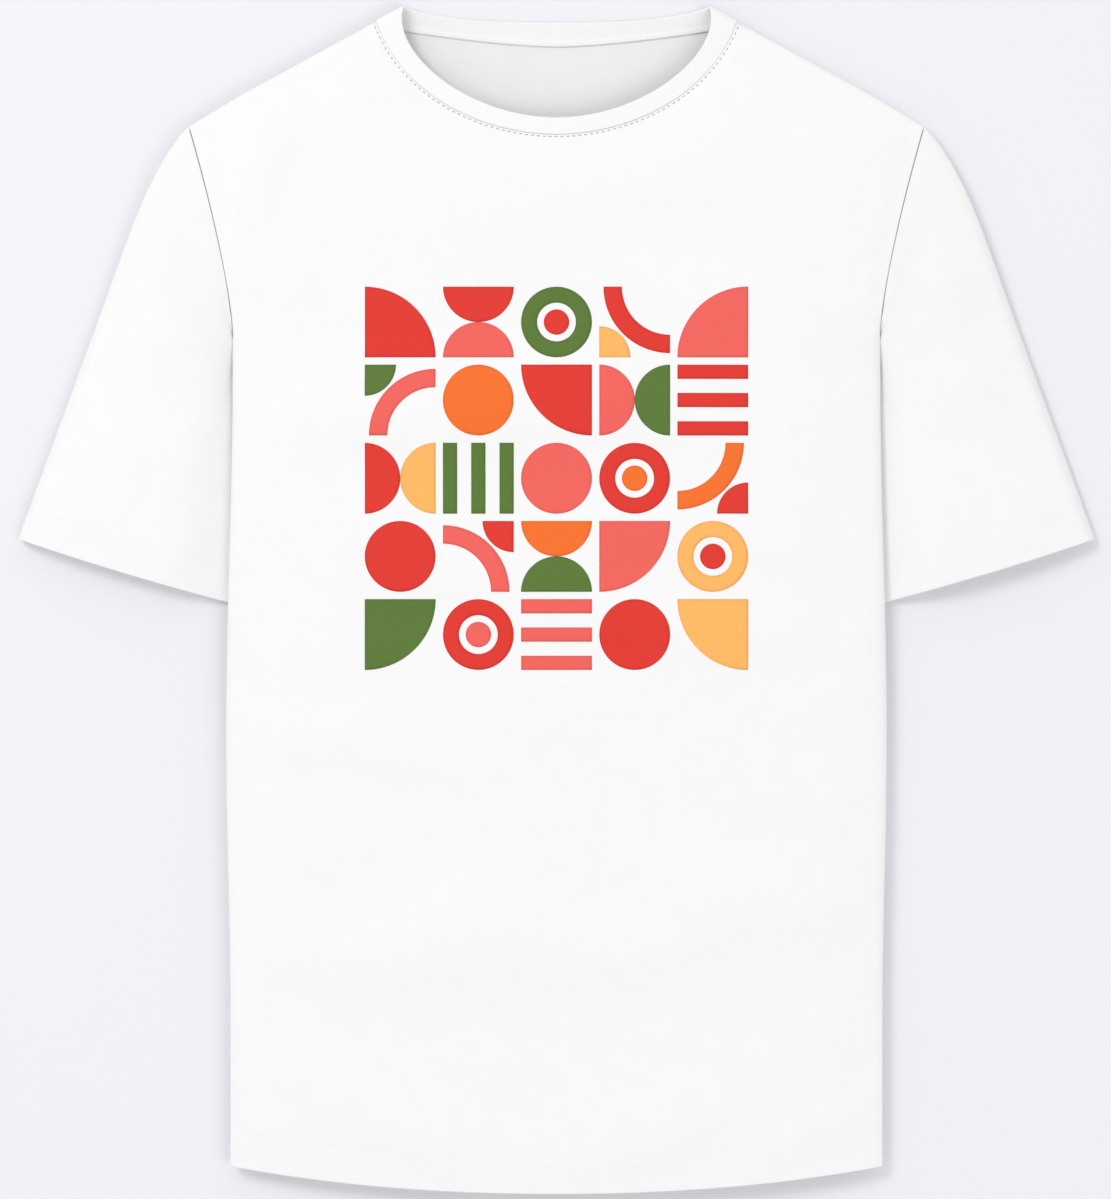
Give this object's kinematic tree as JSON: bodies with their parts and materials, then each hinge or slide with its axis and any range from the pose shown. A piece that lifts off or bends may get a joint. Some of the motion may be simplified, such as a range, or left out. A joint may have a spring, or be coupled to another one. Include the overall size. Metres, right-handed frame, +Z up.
{
  "type": "short-sleeved t-shirt",
  "caption": "White short-sleeved crew-neck T-shirt laid flat on its back, with a ribbed neckband, turned-up hems and a printed pattern on the chest.",
  "frame": {"origin": "on the surface that the shirt lies on, at the middle of its length and width", "axes": "+X towards the wearer's left, +Y from the hem to the collar, +Z up out of the chest"},
  "size_m": [0.6582, 0.7244, 0.018],
  "materials": {
    "jersey": "matte single jersey knit",
    "rib": "matte one-by-one rib knit",
    "thread": "satin sewing thread",
    "print_red": "matte screen print ink",
    "print_coral": "matte screen print ink",
    "print_orange": "matte screen print ink",
    "print_amber": "matte screen print ink",
    "print_green": "matte screen print ink"
  },
  "bodies": {
    "root": {"front_panel": "jersey", "back_panel": "jersey", "left_sleeve": "jersey", "right_sleeve": "jersey", "neckband": "rib"}
  },
  "joints": []
}
